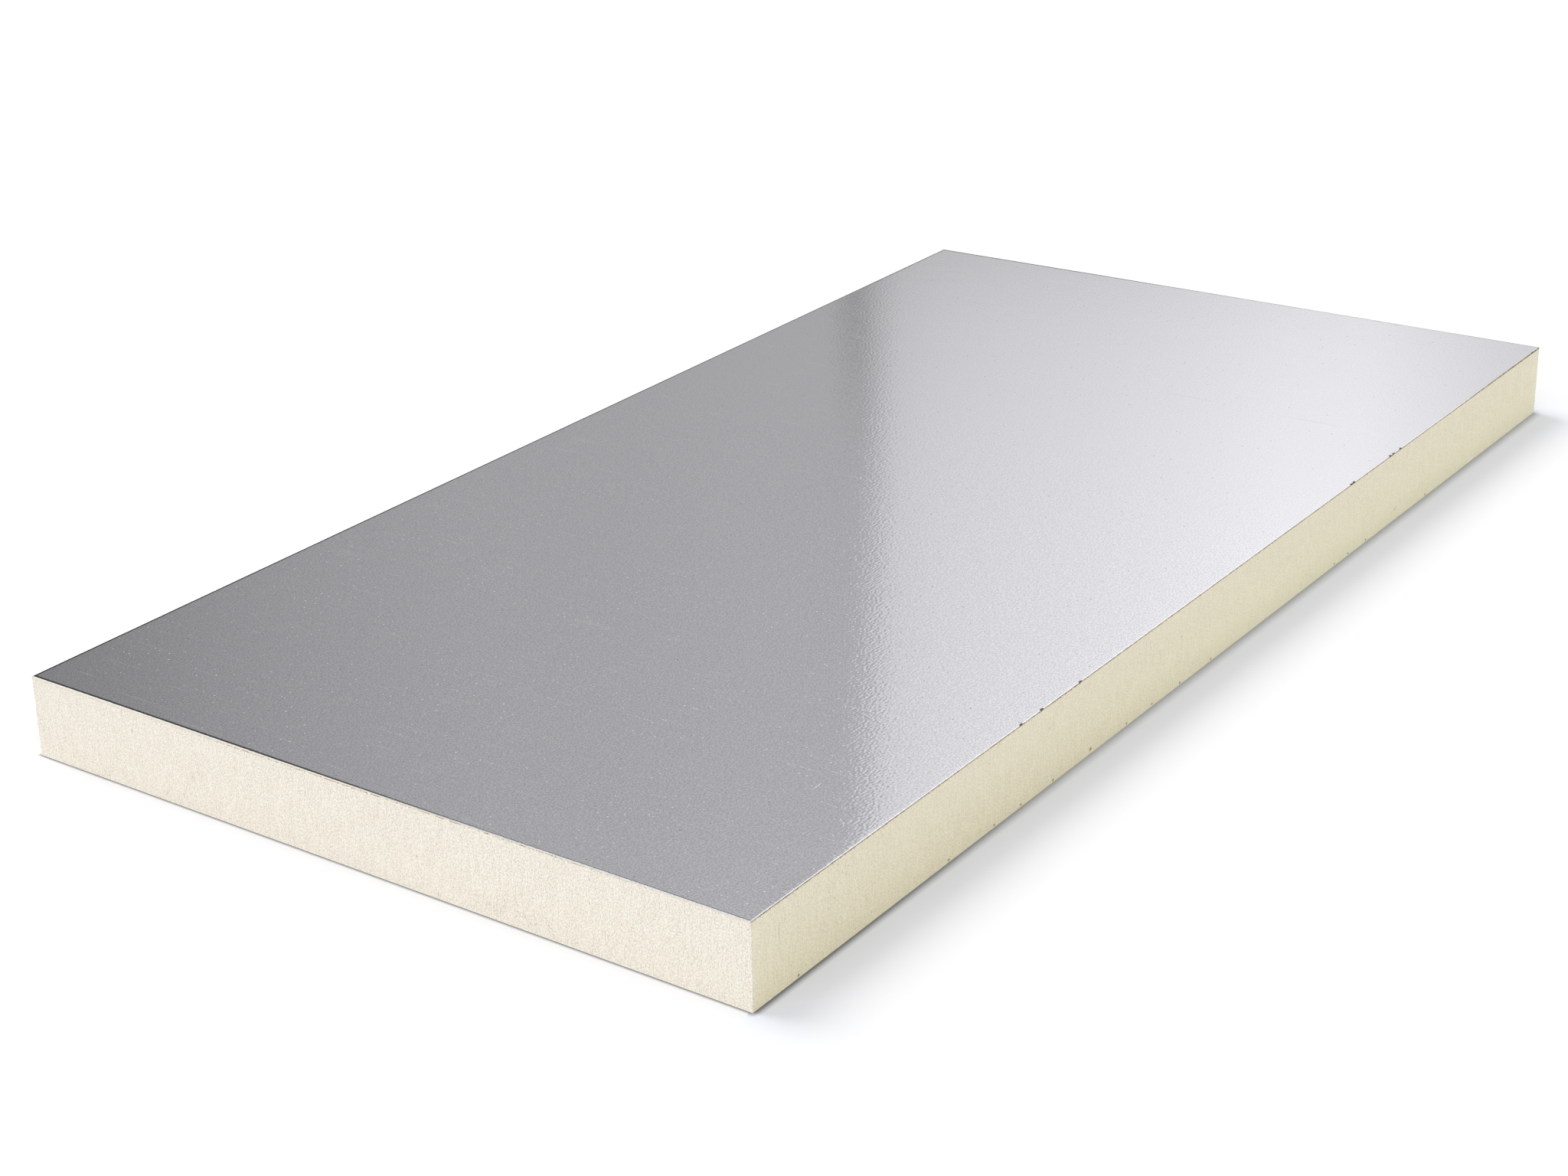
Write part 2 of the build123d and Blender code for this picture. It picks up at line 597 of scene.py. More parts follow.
# The cuts in the end face and in the long face, each 0 at the middle of a cut and 1 at its rim
def slitDistance(tree, place, split, s):
    wobble = mathOf(tree, "MULTIPLY", grainOf(tree, place, (3, 3, 2)), 0.9 * millimetre)
    bent = vectorOf(tree, "ADD", place, scaleOf(tree, (1.0, 1.0, 0.0), wobble))
    onEnd = mathOf(tree, "LESS_THAN", split.outputs[0], -halfLength + 2 * millimetre)
    onSide = mathOf(tree, "LESS_THAN", split.outputs[1], -halfWidth + 2 * millimetre)
    far = 9.0
    end = blendOf(tree, onEnd, far, nearestSpot(tree, bent, throughSpots(0, s["endSlits"])))
    side = blendOf(tree, onSide, far, nearestSpot(tree, bent, throughSpots(1, s["sideSlits"])))
    return mathOf(tree, "MINIMUM", end, side), onSide


def foamMaterial(s):
    material, tree, output = newMaterial("sawnFoam")
    place = addNode(tree, "ShaderNodeTexCoord").outputs["Object"]
    split = addNode(tree, "ShaderNodeSeparateXYZ", {0: place})
    height = split.outputs[2]
    mm = millimetre

    # Tall clouds of tint, broken saw strokes and fine cells
    clouds = grainOf(tree, place, (6, 6, 45), 2.0)
    body = mixColours(tree, rangeOf(tree, clouds, 0.35, 0.65), s["pink"], s["green"])
    farOut = mathOf(tree, "ABSOLUTE", split.outputs[0])
    onEnd = rangeOf(tree, farOut, halfLength - 1.6 * mm, halfLength - 0.8 * mm)
    cells = rangeOf(tree, grainOf(tree, place, (1.0, 1.0, 1.2), 2.0, 3.0), 0.28, 0.72, -0.5, 0.5)
    cells = mathOf(tree, "MULTIPLY", cells, blendOf(tree, onEnd, s["sideCells"], s["endCells"]))
    strokes = rangeOf(tree, grainOf(tree, place, (1.4, 1.4, 12.0), 1.0, 5.0), 0.34, 0.66, -1.0, 1.0)
    level = sumOf(
        tree, s["level"],
        mathOf(tree, "MULTIPLY", cells, s["cellContrast"]),
        mathOf(tree, "MULTIPLY", strokes, s["strokeContrast"]),
    )
    body = scaleOf(tree, body, level)

    # Painted light: the ends are drawn paler than the long faces, which grow yellower downwards and paler to
    # the right
    # These tints stand in for the light on each face and the bounce low down, not for the foam's own colour
    low = rangeOf(tree, height, 4 * mm, 54 * mm, 1.0, 0.0)
    rightLowPaintedLight = productOf(tree, low, rangeOf(tree, split.outputs[0], -0.6 * halfLength, 0.2 * halfLength))
    sidePaintedLight = vectorOf(
        tree, "MULTIPLY",
        mixColours(tree, low, white, s["lowPaintedBounce"]), mixColours(tree, rightLowPaintedLight, white, s["footPaintedLight"]),
    )
    body = vectorOf(tree, "MULTIPLY", body, mixColours(tree, onEnd, sidePaintedLight, s["endPaintedLight"]))
    body = vectorOf(tree, "MINIMUM", body, s["brightest"])

    # Pores in patches, and the slits that the saw tore open, both darkened with painted shade in the hollows
    crowded = nearestSpot(tree, place, throughSpots(0, s["poreClusters"]))
    crowded = productOf(tree, rangeOf(tree, crowded, 0.5, 1.2, 1.0, 0.0), onEnd)
    pores = grainOf(tree, place, (1.1, 1.1, 1.7), 2.0, 11.0)
    pores = mathOf(tree, "ADD", pores, mathOf(tree, "MULTIPLY", crowded, 0.04))
    patches = rangeOf(tree, grainOf(tree, place, (38, 38, 24), 1.0, 23.0), 0.48, 0.66)
    patches = mathOf(tree, "MAXIMUM", patches, crowded)
    poreMask = rangeOf(tree, pores, 0.64, 0.76, 0.0, 0.85)
    poreMask = productOf(tree, poreMask, blendOf(tree, patches, 0.25, 1.0))
    distance, onSide = slitDistance(tree, place, split, s)
    slitMask = rangeOf(tree, distance, 0.45, 1.1, 0.85, 0.0)
    holes = mathOf(tree, "MAXIMUM", poreMask, slitMask)
    holedAndShaded = mixColours(tree, holes, body, s["poreShade"])

    # Resin crumbs along the foot, a broken line under the rolled rim and dark painted shade in the rim's
    # seat
    # The line under the rim is partly resin and partly painted shade under the foil's edge
    grains = grainOf(tree, place, (2.4, 2.4, 0.9), 1.0, 31.0)
    onLong = mathOf(tree, "GREATER_THAN", mathOf(tree, "ABSOLUTE", split.outputs[1]), halfWidth - mm)
    belowRim = mathOf(tree, "SUBTRACT", blendOf(tree, onLong, rimBottom, s["longRim"] * mm), height)
    seam = rangeOf(tree, belowRim, 0.3 * mm, 1.0 * mm, 1.0, 0.0)
    start, end = (v * mm for v in s["seamFade"])
    fromMiddle = mathOf(tree, "ABSOLUTE", mathOf(tree, "SUBTRACT", split.outputs[1], s["seamMiddle"] * mm))
    darkStart, darkRise, darkFall, darkEnd = (v * mm for v in s["darkSeam"])
    dark = productOf(
        tree, rangeOf(tree, split.outputs[0], darkStart, darkRise),
        rangeOf(tree, split.outputs[0], darkFall, darkEnd, 1.0, 0.0), onSide,
    )
    longFull = mathOf(tree, "ADD", s["longSeam"], dark)
    full = blendOf(tree, onLong, rangeOf(tree, fromMiddle, start, end, 1.0, 0.25), longFull)
    seamMask = productOf(tree, seam, full, rangeOf(tree, grains, 0.44, 0.58, 0.08, 0.95))
    spots = throughSpots(1, [(x, *s["crumbShape"]) for x in s["crumbs"]] + [s["highCrumb"]])
    ragged = mathOf(tree, "MULTIPLY", grainOf(tree, place, (1, 1, 1)), 1.6 * mm)
    ragged = vectorOf(tree, "SUBTRACT", place, scaleOf(tree, (1.0, 0.0, 1.0), ragged))
    crumbs = nearestSpot(tree, ragged, spots)
    crumbMask = productOf(tree, rangeOf(tree, crumbs, 0.6, 1.2, 0.9, 0.0), onSide)
    resinAndShadeColoured = mixColours(tree, mathOf(tree, "MAXIMUM", seamMask, crumbMask), holedAndShaded, s["resinAndSeamShade"])
    # Painted dark shade in the rim's seat
    colour = mixColours(tree, rangeOf(tree, height, 58.90 * mm, 58.94 * mm), resinAndShadeColoured, s["shade"])

    relief = reliefOf(tree, (cells, strokes, holes), s["relief"])
    bump = addNode(tree, "ShaderNodeBump", {"Strength": 1.0, "Distance": mm, "Height": relief})
    shader = addNode(tree, "ShaderNodeBsdfPrincipled", {
        "Base Color": colour,
        "Roughness": s["roughness"],
        "Specular IOR Level": s["specular"],
        "Normal": bump.outputs[0],
    })
    tree.links.new(shader.outputs[0], output.inputs[0])
    return material


sawLengths = (
    "Stroke Pitch", "Stroke Depth", "Grain Size", "Grain Depth", "Pit Radius", "Pit Depth",
    "Corner Reach", "Corner Depth", "Foot Reach", "Foot Depth",
)


# Saw strokes run up and down the faces, pits gather round scattered points, and arrises and foot are worn
def sawShaper():
    tree, given = newShaper("sawnRelief", (*sawLengths, "Pit Density"), Seed="NodeSocketInt")
    place = tree.nodes.new("GeometryNodeInputPosition").outputs[0]
    split = addNode(tree, "ShaderNodeSeparateXYZ", {0: place})
    wall = addNode(tree, "GeometryNodeInputNamedAttribute", {0: "wall"}).outputs[0]
    outward = tree.nodes.new("GeometryNodeInputNormal").outputs[0]
    level = vectorOf(tree, "MULTIPLY", outward, (1.0, 1.0, 0.0))

    tall = vectorOf(tree, "MULTIPLY", place, (1.0, 1.0, 0.04))
    strokes = noiseOf(tree, tall, given["Stroke Pitch"], 2.0)
    grain = noiseOf(tree, place, given["Grain Size"], 2.0)

    scatter = addNode(tree, "GeometryNodeDistributePointsOnFaces", {
        "Mesh": given["Geometry"], "Selection": wall, "Density": given["Pit Density"], "Seed": given["Seed"],
    })
    near = addNode(tree, "GeometryNodeProximity", {0: scatter.outputs[0]}, target_element="POINTS")
    patch = rangeOf(tree, grainOf(tree, place, (36, 36, 36)), 0.50, 0.66)
    pit = rangeOf(tree, near.outputs["Distance"], 0.0, given["Pit Radius"], 1.0, 0.0)
    pit = productOf(tree, pit, patch, given["Pit Depth"])

    fromCorner = mathOf(tree, "MAXIMUM", *insetsOf(tree, split))
    uneven = rangeOf(tree, grainOf(tree, place, (5, 5, 7), 2.0, 9.0), 0.30, 0.70)
    corner = productOf(
        tree, rangeOf(tree, fromCorner, 0.0, given["Corner Reach"], 1.0, 0.0), given["Corner Depth"],
        mathOf(tree, "ADD", mathOf(tree, "MULTIPLY", uneven, 0.8), 0.4),
    )
    chips = rangeOf(tree, grainOf(tree, place, (7, 7, 20), 2.0, 17.0), 0.52, 0.68)
    foot = rangeOf(tree, split.outputs[2], 0.0, given["Foot Reach"], 1.0, 0.0)
    foot = productOf(tree, foot, chips, given["Foot Depth"])

    cut = sumOf(
        tree,
        mathOf(tree, "MULTIPLY", strokes, given["Stroke Depth"]),
        mathOf(tree, "MULTIPLY", grain, given["Grain Depth"]),
        pit, corner, foot,
    )
    inwards = productOf(tree, cut, wall, -1.0)
    return endShaper(tree, given, scaleOf(tree, level, inwards))


def makeFoam(s):
    mm = millimetre
    top, bottom = s["wallTop"], s["wallBottom"]
    edge = s["edgeRows"]
    middle = np.linspace(top - edge[-1], bottom + edge[-1], s["rows"] - 2 * len(edge) + 1)
    upperRows = [top] + [top - e for e in edge[:-1]]
    lowerRows = [bottom + e for e in edge[-2::-1]] + [bottom]
    heights = upperRows + list(middle) + lowerRows
    seat = (halfLength - s["seatInset"] * mm, halfWidth - s["seatInset"] * mm)
    under = (halfLength - s["undersideInset"] * mm, halfWidth - s["undersideInset"] * mm)
    rings = [(*seat, s["seatTop"] * mm), (*seat, top * mm)]
    rings += [(halfLength, halfWidth, h * mm) for h in heights]
    rings += [(*under, facerThickness)]
    piece = boardBody("foamSlab", rings, s["stepsX"], s["stepsY"], s["cell"])
    count = 2 * (s["stepsX"] + s["stepsY"])
    weights = np.zeros(len(piece.data.vertices))
    weights[2 * count:(2 + len(heights)) * count] = 1.0
    writeWeight(piece, "wall", weights)
    values = {key: s[key] * mm for key in sawLengths}
    values["Pit Density"] = s["Pit Density"]
    values["Seed"] = s["Seed"]
    values["Material"] = foamMaterial(foamColours)
    shapePiece(piece, sawShaper(), values)
    placeInPart(piece, "foam_core")


makeFoam(foamSettings)


# The foil facers. Lengths in millimetres.
foilSettings = {
    "stepsX": 1600, "stepsY": 800, "cell": 32,
    "insideRings": (4.2, 3.0, 2.2, 1.6, 1.1, 0.7),
    "rimRadius": 0.35,
    "bendSteps": 4,
    "paperTop": 59.62,
    "longRimLift": 0.40,
    # How far the sheet sinks at each edge, from that edge's one end to its other, and how far in it begins
    "sinks": {
        "left": {"axis": 0, "side": -1, "depths": (0.01, 0.12), "reach": 2.4},
        "right": {"axis": 0, "side": 1, "depths": (0.05, 0.10), "reach": 3.0},
        "front": {"axis": 1, "side": -1, "depths": (0.025, 0.03), "reach": 3.6},
        "far": {"axis": 1, "side": 1, "depths": (0.10, 0.05), "reach": 2.6},
    },
    # Where the saw nicked the front edge: the middle and half length of each nick along X
    "nicks": ((-297, 2.0), (-270, 2.5), (-219, 2.0), (212, 3.5), (286, 3.5), (302, 1.5), (583, 2.5)),
    "nickDepth": 0.65,
    "Ragged": 0.36, "Ragged Length": 3.2,
    "Tear Depth": 0.40, "Tear Length": 14.0,
}
foilColours = {
    "bright": (0.990, 0.982, 1.0, 1.0),
    "dull": (0.780, 0.773, 0.845, 1.0),
    # Pale of the specks, fringe and hairlines: partly scuffs, partly painted glints
    "speck": (0.95, 0.94, 0.93, 1.0),
    # Dark grey of the dents: painted shade
    "pit": (0.30, 0.29, 0.30, 1.0),
    "paper": (0.50, 0.42, 0.29, 1.0),
    # On the upper sheet the dark glue is also painted shade of the gap under the long edges
    "glueAndGapShade": (0.17, 0.12, 0.08, 1.0),
    "endPaper": (0.81, 0.77, 0.69, 1.0),
    # Painted dark reflection on the bend and the tip
    "bend": (0.02, 0.02, 0.02, 1.0),
    "roughness": 0.05,
    "paperRoughness": 0.8,
    "speckMetal": 0.25,
    # The painted dark bend line at the ends, from front to far edge, and at the far edge, from left to right
    "endBendPaintedDark": (0.20, 0.85), "farBendPaintedDark": (1.0, 0.40), "bendStart": (0.5, 1.3), "bendEnd": (0.95, 2.4),
    # How far in from the top arris the paper shows: at the ends, from front to far edge, and at the front
    # edge, from the place where it starts to widen to the right end. Below zero it shows further down.
    "endBare": (-0.90, 0.75), "frontBare": (-0.38, 0.70), "frontWidens": 0.60,
    # The foil's tip at the left corner, painted dark
    "tipPaintedDark": [((-600, 300, 60), (5.0, 5.0, 3.0))],
    # Torn places along the front edge, painted black as the shade in the gap: places along X and Z, then
    # half sizes
    "tears": [
        (-297, 59.8, 2.2, 1.1, 1.2), (-270, 59.8, 2.6, 1.4, 1.2), (-219, 59.7, 2.4, 1.1, 1.4),
        (209, 59.8, 2.2, 1.1, 1.2), (214, 59.8, 2.6, 1.3, 1.2), (283, 59.8, 2.4, 1.2, 1.2),
        (289, 59.8, 2.6, 1.2, 1.2), (302, 59.8, 2.6, 1.0, 1.2), (583, 59.2, 3.0, 1.2, 1.4),
        (569, 58.9, 2.0, 1.0, 1.2),
    ],
    "tornEdge": -300,
    # Black of the painted shade in the torn gaps
    "tear": (0.09, 0.08, 0.07, 1.0),
    # Creases across the sheet: places along X and Y, then half sizes
    "creases": [
        (-331, 165.7, 0.5, 6), (-460.4, 222, 0.5, 8), (-438.8, 247, 0.5, 7), (-522, 163.6, 0.5, 4),
        (-534, 164.6, 0.5, 7), (-531, 23, 3.5, 0.5), (-547, -233, 0.5, 8), (-441, -239, 7.5, 0.6),
        (-419.5, -238.5, 0.5, 6), (-537.4, -271, 0.5, 4), (-589, 285, 0.5, 5), (-334.5, -205, 0.7, 27),
        (326, -104, 0.8, 42), (323.7, -217, 0.8, 46), (322, 225.7, 0.8, 20), (211.5, 151, 0.8, 20),
    ],
    # Relief: the height of ripples, waves, dents, specks, creases, hairlines and fringe
    "relief": (0.030, 0.030, -0.03, -0.02, 0.030, -0.004, 0.05),
    # The streaky fringe of painted reflection where the saw entered: its stretch along the front edge
    "fringe": (-592, -575, -500, -470),
}


def foilMaterial(name, s):
    material, tree, output = newMaterial(name)
    place = addNode(tree, "ShaderNodeTexCoord").outputs["Object"]
    split = addNode(tree, "ShaderNodeSeparateXYZ", {0: place})
    mm = millimetre
    leftness = rangeOf(tree, split.outputs[0], -0.5 * halfLength, 0.4 * halfLength, 1.0, 0.12)
    mottled = productOf(tree, leftness, rangeOf(tree, split.outputs[1], -halfWidth, 0.0, 0.60, 1.0))

    # Fine grain of the rolled sheet, as tint and as ripples whose ridges run along the board
    grain = grainOf(tree, place, (1.05, 1.2, 1.05), 0.0)
    tone = mathOf(tree, "ADD", mathOf(tree, "MULTIPLY", mathOf(tree, "SUBTRACT", grain, 0.5), mottled), 0.5)
    colour = mixColours(tree, rangeOf(tree, tone, 0.44, 0.56), s["dull"], s["bright"])
    ripple = grainOf(tree, place, (2.8, 1.9, 2.0), 0.0, 19.0)
    wave = grainOf(tree, place, (34, 60, 40), 1.0, 7.0)

    # Specks, partly scuffs and partly painted glints, and dents painted darker as shade, gathered in patches
    patches = rangeOf(tree, grainOf(tree, place, (55, 70, 55), 1.0, 37.0), 0.38, 0.62, 0.35, 1.0)
    speckDistance, speckChoice = marksOf(tree, place, 8.0)
    speckRim = rangeOf(tree, speckChoice, 0.3, 1.0, 0.0, 0.60)
    speckMask = rangeOf(tree, mathOf(tree, "SUBTRACT", speckDistance, speckRim), -0.28, 0.12, 1.0, 0.0)
    speckMask = productOf(tree, speckMask, patches, leftness, 0.72)
    pitDistance, pitChoice = marksOf(tree, place, 20.0, 31.7)
    pitRim = rangeOf(tree, pitChoice, 0.35, 1.0, 0.0, 0.60)
    dentAndShadeMask = rangeOf(tree, mathOf(tree, "SUBTRACT", pitDistance, pitRim), -0.30, 0.10, 0.85, 0.0)
    dentAndShadeMask = productOf(tree, dentAndShadeMask, mathOf(tree, "GREATER_THAN", pitChoice, 0.35))

    # Creases and hairlines across the sheet
    swing = mathOf(tree, "SUBTRACT", grainOf(tree, place, (9, 9, 9), 1.0, 3.0), 0.5)
    swing = scaleOf(tree, (1.0, 0.0, 0.0), mathOf(tree, "MULTIPLY", swing, 3.0 * mm))
    bent = vectorOf(tree, "ADD", place, swing)
    creaseDistance = nearestSpot(tree, bent, throughSpots(2, s["creases"]))
    creaseMask = rangeOf(tree, creaseDistance, 0.0, 1.0, 1.0, 0.0)
    lines = grainOf(tree, place, (1.0, 60, 20), 0.0, 43.0)
    lineMask = rangeOf(tree, lines, 0.76, 0.82)

    # White streaks at right angles to the front edge, near the front corner: painted reflection, with a
    # little relief
    start, rise, fall, end = (v * mm for v in s["fringe"])
    stretch = productOf(
        tree,
        rangeOf(tree, split.outputs[0], start, rise),
        rangeOf(tree, split.outputs[0], fall, end, 1.0, 0.0),
    )
    fromFront = mathOf(tree, "ADD", split.outputs[1], halfWidth)
    streaks = grainOf(tree, place, (1.0, 12, 9), 1.0, 53.0)
    reach = rangeOf(tree, streaks, 0.40, 0.70, 0.5 * mm, 9.0 * mm)
    fringe = rangeOf(tree, mathOf(tree, "SUBTRACT", fromFront, reach), -4.0 * mm, 0.0, 1.0, 0.0)
    fringe = productOf(tree, fringe, stretch, rangeOf(tree, streaks, 0.46, 0.62))

    # Specks, fringe, hairlines and the creases on the left are drawn pale: partly scuffs, partly painted
    # glints
    scuffsAndGlints = mathOf(tree, "MAXIMUM", speckMask, mathOf(tree, "MULTIPLY", fringe, 0.36))
    scuffsAndGlints = mathOf(tree, "MAXIMUM", scuffsAndGlints, productOf(tree, lineMask, 0.15))
    scuffsAndGlints = mathOf(tree, "MAXIMUM", scuffsAndGlints, productOf(tree, creaseMask, leftness, 0.25))
    colour = mixColours(tree, scuffsAndGlints, colour, s["speck"])
    # The dents are painted dark grey as shade
    colour = mixColours(tree, dentAndShadeMask, colour, s["pit"])
    metal = blendOf(tree, scuffsAndGlints, 1.0, s["speckMetal"])

    # The bend at the ends and at the far edge, and the tip at the left corner, are painted as a dark line: a
    # painted reflection of the dark room. Distances run in from the top arris and, below zero, down the
    # skirt.
    drop = mathOf(tree, "SUBTRACT", boardTop, split.outputs[2])
    inEnd = mathOf(tree, "SUBTRACT", halfLength, mathOf(tree, "ABSOLUTE", split.outputs[0]))
    inEnd = mathOf(tree, "SUBTRACT", inEnd, drop)
    inFar = mathOf(tree, "SUBTRACT", mathOf(tree, "SUBTRACT", halfWidth, split.outputs[1]), drop)
    inFront = mathOf(tree, "SUBTRACT", mathOf(tree, "ADD", halfWidth, split.outputs[1]), drop)
    frayed = mathOf(tree, "SUBTRACT", grainOf(tree, place, (3, 3, 3)), 0.5)
    frayed = mathOf(tree, "MULTIPLY", frayed, 0.6 * mm)
    endEdge = rangeOf(tree, split.outputs[1], -0.5 * halfWidth, halfWidth, *(v * mm for v in s["endBare"]))
    pastEnd = mathOf(tree, "SUBTRACT", mathOf(tree, "ADD", inEnd, frayed), endEdge)
    span = (split.outputs[1], -0.8 * halfWidth, 0.4 * halfWidth)
    bendStart, bendEnd = (
        rangeOf(tree, *span, *(v * mm for v in s[key])) for key in ("bendStart", "bendEnd")
    )
    endBendPaintedDark = productOf(
        tree, rangeOf(tree, pastEnd, bendStart, bendEnd, 1.0, 0.0), rangeOf(tree, *span, *s["endBendPaintedDark"]),
    )
    farBendPaintedDark = productOf(
        tree, rangeOf(tree, inFar, s["bendStart"][1] * mm, s["bendEnd"][1] * mm, 1.0, 0.0),
        rangeOf(tree, split.outputs[0], -halfLength, halfLength, *s["farBendPaintedDark"]),
    )
    tipPaintedDark = rangeOf(tree, nearestSpot(tree, place, s["tipPaintedDark"]), 0.5, 1.0, 0.9, 0.0)
    bend = mathOf(tree, "MAXIMUM", mathOf(tree, "MAXIMUM", endBendPaintedDark, farBendPaintedDark), tipPaintedDark)
    colour = mixColours(tree, bend, colour, s["bend"])

    # Where the sheet is cut, its paper and glue show, and on the long edges painted shade of the gap under
    # the cut
    paper = addNode(tree, "ShaderNodeAttribute", attribute_name="paper").outputs["Fac"]
    widening = (s["frontWidens"] * halfLength, halfLength)
    frontEdge = rangeOf(tree, split.outputs[0], *widening, *(v * mm for v in s["frontBare"]))
    pastFront = mathOf(tree, "SUBTRACT", mathOf(tree, "ADD", inFront, frayed), frontEdge)
    past = mathOf(tree, "MINIMUM", pastEnd, pastFront)
    bare = mathOf(
        tree, "MAXIMUM",
        rangeOf(tree, paper, 0.4, 0.7), rangeOf(tree, past, -0.1 * mm, 0.1 * mm, 1.0, 0.0),
    )
    glued = rangeOf(tree, grainOf(tree, place, (4.0, 4.0, 1.0), 2.0, 61.0), 0.42, 0.62)
    onLong = mathOf(tree, "GREATER_THAN", mathOf(tree, "ABSOLUTE", split.outputs[1]), halfWidth - 0.4 * mm)
    cutPaperAndGapShade = mixColours(tree, onLong, s["endPaper"], mixColours(tree, glued, s["paper"], s["glueAndGapShade"]))
    colour = mixColours(tree, bare, colour, cutPaperAndGapShade)
    # Painted black shade in the gaps where the sheet is torn
    crumpled = scaleOf(tree, (1.0, 1.0, 1.0), mathOf(tree, "MULTIPLY", frayed, 3.0))
    crumpled = vectorOf(tree, "ADD", place, crumpled)
    tears = [((x, s["tornEdge"], z), half) for x, z, *half in s["tears"]]
    tornShade = rangeOf(tree, nearestSpot(tree, crumpled, tears), 0.7, 1.1, 0.95, 0.0)
    colour = mixColours(tree, tornShade, colour, s["tear"])
    dull = mathOf(tree, "MAXIMUM", bare, tornShade)
    metal = blendOf(tree, dull, metal, 0.0)
    roughness = blendOf(tree, dull, s["roughness"], s["paperRoughness"])

    marks = (ripple, wave, dentAndShadeMask, speckMask, creaseMask, lineMask, fringe)
    height = reliefOf(tree, marks, s["relief"])
    bump = addNode(tree, "ShaderNodeBump", {"Strength": 1.0, "Distance": mm, "Height": height})
    shader = addNode(tree, "ShaderNodeBsdfPrincipled", {
        "Base Color": colour,
        "Metallic": metal,
        "Roughness": roughness,
        "Normal": bump.outputs[0],
    })
    tree.links.new(shader.outputs[0], output.inputs[0])
    return material


rimLengths = ("Ragged", "Ragged Length", "Tear Depth", "Tear Length")


# The sheet sinks beside its edges, and its cut edge is ragged, torn and nicked
def foilShaper():
    tree, given = newShaper("foilRelief", rimLengths)
    place = tree.nodes.new("GeometryNodeInputPosition").outputs[0]
    cutEdge, sink, cutLift = (
        addNode(tree, "GeometryNodeInputNamedAttribute", {0: name}).outputs[0]
        for name in ("cutEdge", "sink", "cutLift")
    )
    waves = rangeOf(tree, grainOf(tree, place, (25, 25, 25), 2.0), 0.25, 0.75, 0.6, 1.4)
    streaks = rangeOf(tree, grainOf(tree, place, (2.6, 12, 12), 1.0, 29.0), 0.30, 0.70, 0.3, 1.7)
    sunk = productOf(tree, sink, waves, streaks)

    rags = noiseOf(tree, place, given["Ragged Length"], 3.0)
    rag = productOf(tree, mathOf(tree, "SUBTRACT", rags, 0.5), given["Ragged"], 2.0)
    tears = noiseOf(tree, place, given["Tear Length"], 3.0)
    tear = mathOf(tree, "MULTIPLY", rangeOf(tree, tears, 0.56, 0.70), given["Tear Depth"])
    edge = mathOf(tree, "MULTIPLY", sumOf(tree, rag, tear, cutLift), cutEdge)
    rise = mathOf(tree, "SUBTRACT", edge, sunk)
    return endShaper(tree, given, addNode(tree, "ShaderNodeCombineXYZ", {2: rise}).outputs[0])


def bendRings(radius, inset, steps):
    rings = []
    for k in range(1, steps + 1):
        angle = math.radians(90 * k / steps)
        out = inset + radius * (1 - math.sin(angle))
        rings.append((halfLength - out, halfWidth - out, boardTop - inset - radius * (1 - math.cos(angle))))
    return rings


# How far each point sinks: most at the rim's bend, none inside the reach, and less down the skirt
def sinkOf(places, sinks):
    halves = (halfLength, halfWidth)
    total = np.zeros(len(places))
    for s in sinks.values():
        axis = s["axis"]
        fromEdge = (halves[axis] - s["side"] * places[:, axis]) / millimetre
        share = places[:, 1 - axis] / halves[1 - axis] / 2 + 0.5
        depth = s["depths"][0] + (s["depths"][1] - s["depths"][0]) * np.clip(share, 0, 1) ** 1.5
        total += depth * np.clip(1 - fromEdge / s["reach"], 0, 1) ** 2 * millimetre
    return total * np.clip((places[:, 2] - rimBottom) / (boardTop - rimBottom), 0, 1)


def makeUpperFoil(s, material):
    mm = millimetre
    radius = s["rimRadius"] * mm
    inner = radius - facerThickness
    rings = [(halfLength - d * mm, halfWidth - d * mm, boardTop) for d in s["insideRings"]]
    rings.append((halfLength - radius, halfWidth - radius, boardTop))
    rings += bendRings(radius, 0.0, s["bendSteps"])
    rings += [(halfLength, halfWidth, s["paperTop"] * mm), (halfLength, halfWidth, rimBottom)]
    cutStart = len(rings) - 1
    back = (halfLength - facerThickness, halfWidth - facerThickness)
    rings += [(*back, rimBottom), (*back, s["paperTop"] * mm)]
    rings += bendRings(inner, facerThickness, s["bendSteps"] // 2)[::-1]
    rings.append((halfLength - radius, halfWidth - radius, boardTop - facerThickness))
    piece = boardBody("upperFoil", rings, s["stepsX"], s["stepsY"], s["cell"])

    count = 2 * (s["stepsX"] + s["stepsY"])
    places = pointsOf(piece)
    ring = np.arange(len(places)) // count
    cut = (ring >= cutStart) & (ring <= cutStart + 1)
    longSide = np.abs(places[:, 1]) > halfWidth - facerThickness - 0.01 * mm
    nick = np.zeros(len(places))
    for middle, halfSize in s["nicks"]:
        nick = np.maximum(nick, np.clip(1.2 - np.abs(places[:, 0] / mm - middle) / halfSize, 0, 1))
    nick *= places[:, 1] < 0
    writeWeight(piece, "cutEdge", cut)
    writeWeight(piece, "cutLift", longSide * (s["longRimLift"] + nick * s["nickDepth"]) * mm)
    writeWeight(piece, "sink", sinkOf(places, s["sinks"]))
    writeWeight(piece, "paper", cut | ((ring == cutStart - 1) & longSide))
    values = {key: s[key] * mm for key in rimLengths}
    values["Material"] = material
    shapePiece(piece, foilShaper(), values)
    placeInPart(piece, "top_facer")


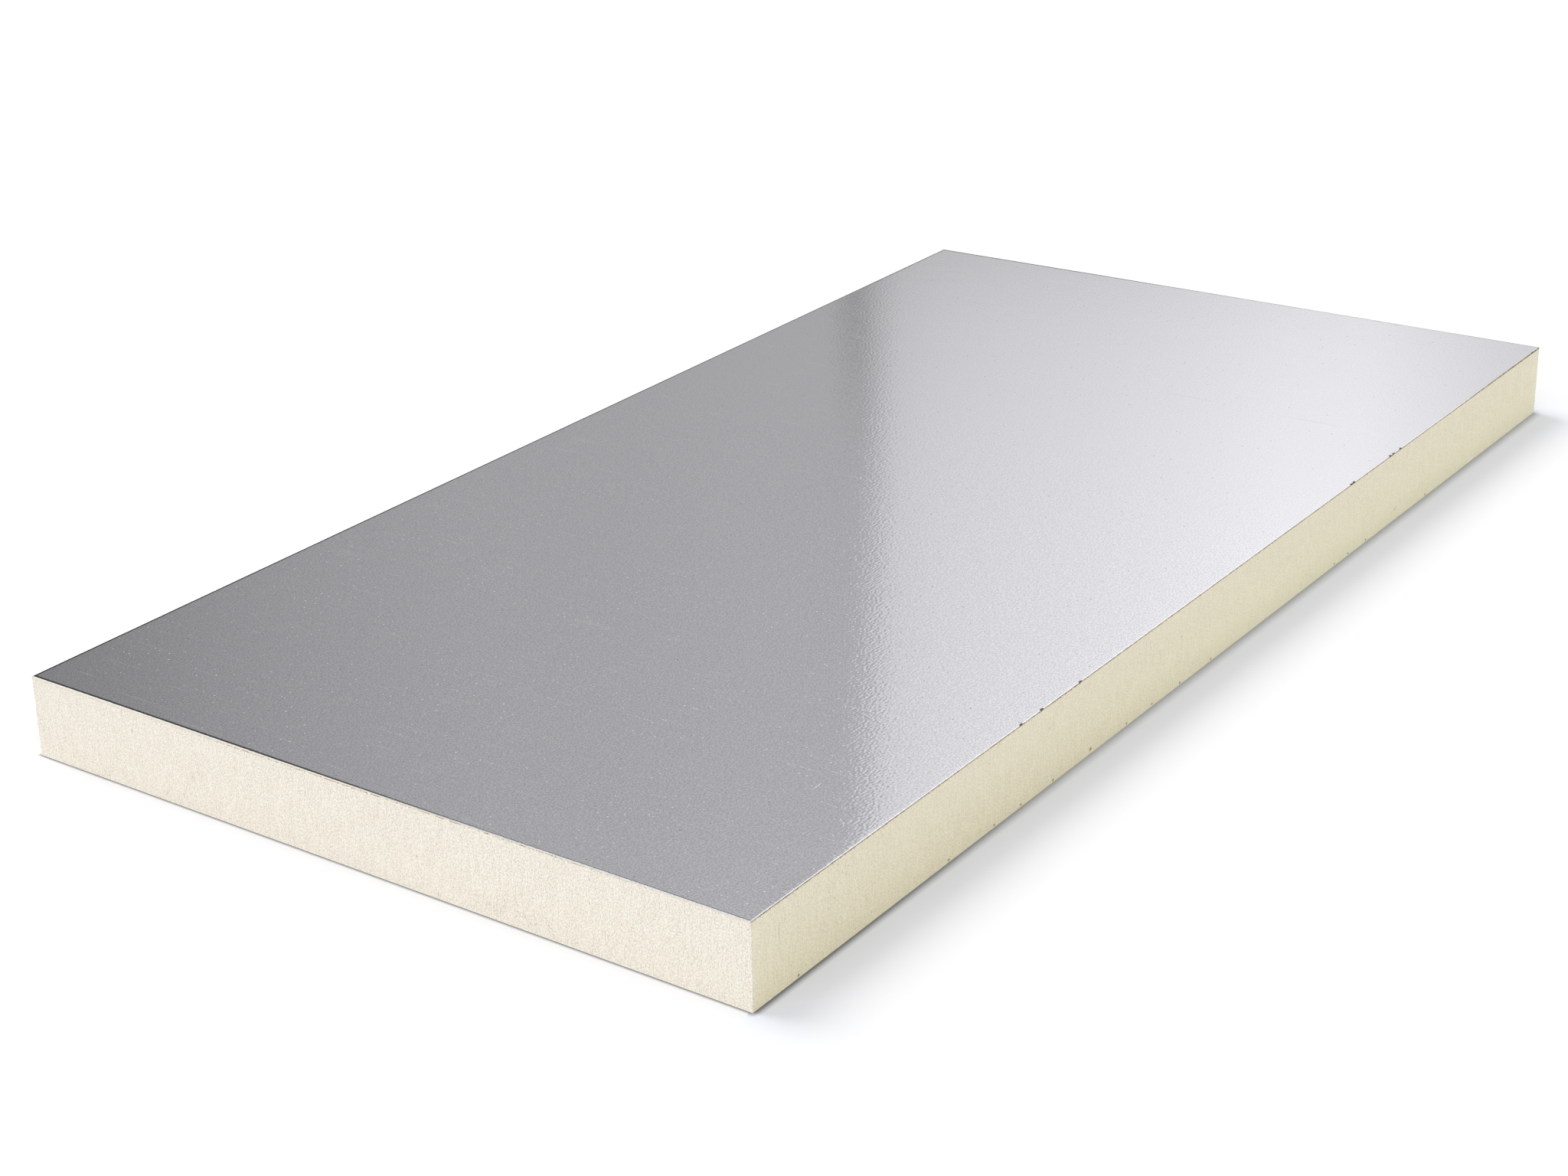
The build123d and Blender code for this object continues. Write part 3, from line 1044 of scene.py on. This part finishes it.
lowerSettings = {
    "stepsX": 720, "stepsY": 360, "cell": 12,
    "insideRings": (9.0, 5.0, 3.2, 2.2, 1.4, 0.8, 0.3),
    "Lift": 0.02, "Lift Reach": 1.4, "Ragged": 0.03, "Ragged Length": 5.0,
}
lowerColours = {
    **foilColours,
    "endPaper": (0.93, 0.89, 0.80, 1.0),
    "paper": (0.95, 0.88, 0.68, 1.0),
    "glueAndGapShade": (0.85, 0.76, 0.56, 1.0),
    "endBare": (-100.0, -100.0), "frontBare": (-100.0, -100.0),
    "endBendPaintedDark": (0.0, 0.0), "farBendPaintedDark": (0.0, 0.0),
}


curlLengths = ("Lift", "Lift Reach", "Ragged", "Ragged Length")


# The lower sheet curls up a little at its cut edge, which leaves the fine dark line where the board stands
def curlShaper():
    tree, given = newShaper("curledEdge", curlLengths)
    place = tree.nodes.new("GeometryNodeInputPosition").outputs[0]
    split = addNode(tree, "ShaderNodeSeparateXYZ", {0: place})
    nearest = mathOf(tree, "MINIMUM", *insetsOf(tree, split))
    fading = rangeOf(tree, nearest, 0.0, given["Lift Reach"], 1.0, 0.0)
    rags = noiseOf(tree, place, given["Ragged Length"], 3.0)
    uneven = mathOf(tree, "MULTIPLY", mathOf(tree, "SUBTRACT", rags, 0.5), given["Ragged"])
    lift = mathOf(tree, "MULTIPLY", fading, mathOf(tree, "ADD", given["Lift"], uneven))
    return endShaper(tree, given, addNode(tree, "ShaderNodeCombineXYZ", {2: lift}).outputs[0])


def makeLowerFoil(s, material):
    mm = millimetre
    inside = s["insideRings"]
    rings = [(halfLength - d * mm, halfWidth - d * mm, facerThickness) for d in inside]
    rings += [(halfLength, halfWidth, facerThickness), (halfLength, halfWidth, 0.0)]
    rings += [(halfLength - d * mm, halfWidth - d * mm, 0.0) for d in inside[::-1]]
    piece = boardBody("lowerFoil", rings, s["stepsX"], s["stepsY"], s["cell"])
    places = pointsOf(piece)
    onEnd = np.abs(places[:, 0]) > halfLength - 0.01 * mm
    onSide = np.abs(places[:, 1]) > halfWidth - 0.01 * mm
    writeWeight(piece, "paper", onEnd | onSide)
    values = {key: s[key] * mm for key in curlLengths}
    values["Material"] = material
    shapePiece(piece, curlShaper(), values)
    placeInPart(piece, "bottom_facer")


makeUpperFoil(foilSettings, foilMaterial("satinFoil", foilColours))
makeLowerFoil(lowerSettings, foilMaterial("lowerFoil", lowerColours))
print("foil facers made")

bpy.context.scene.view_settings.view_transform = "Standard"
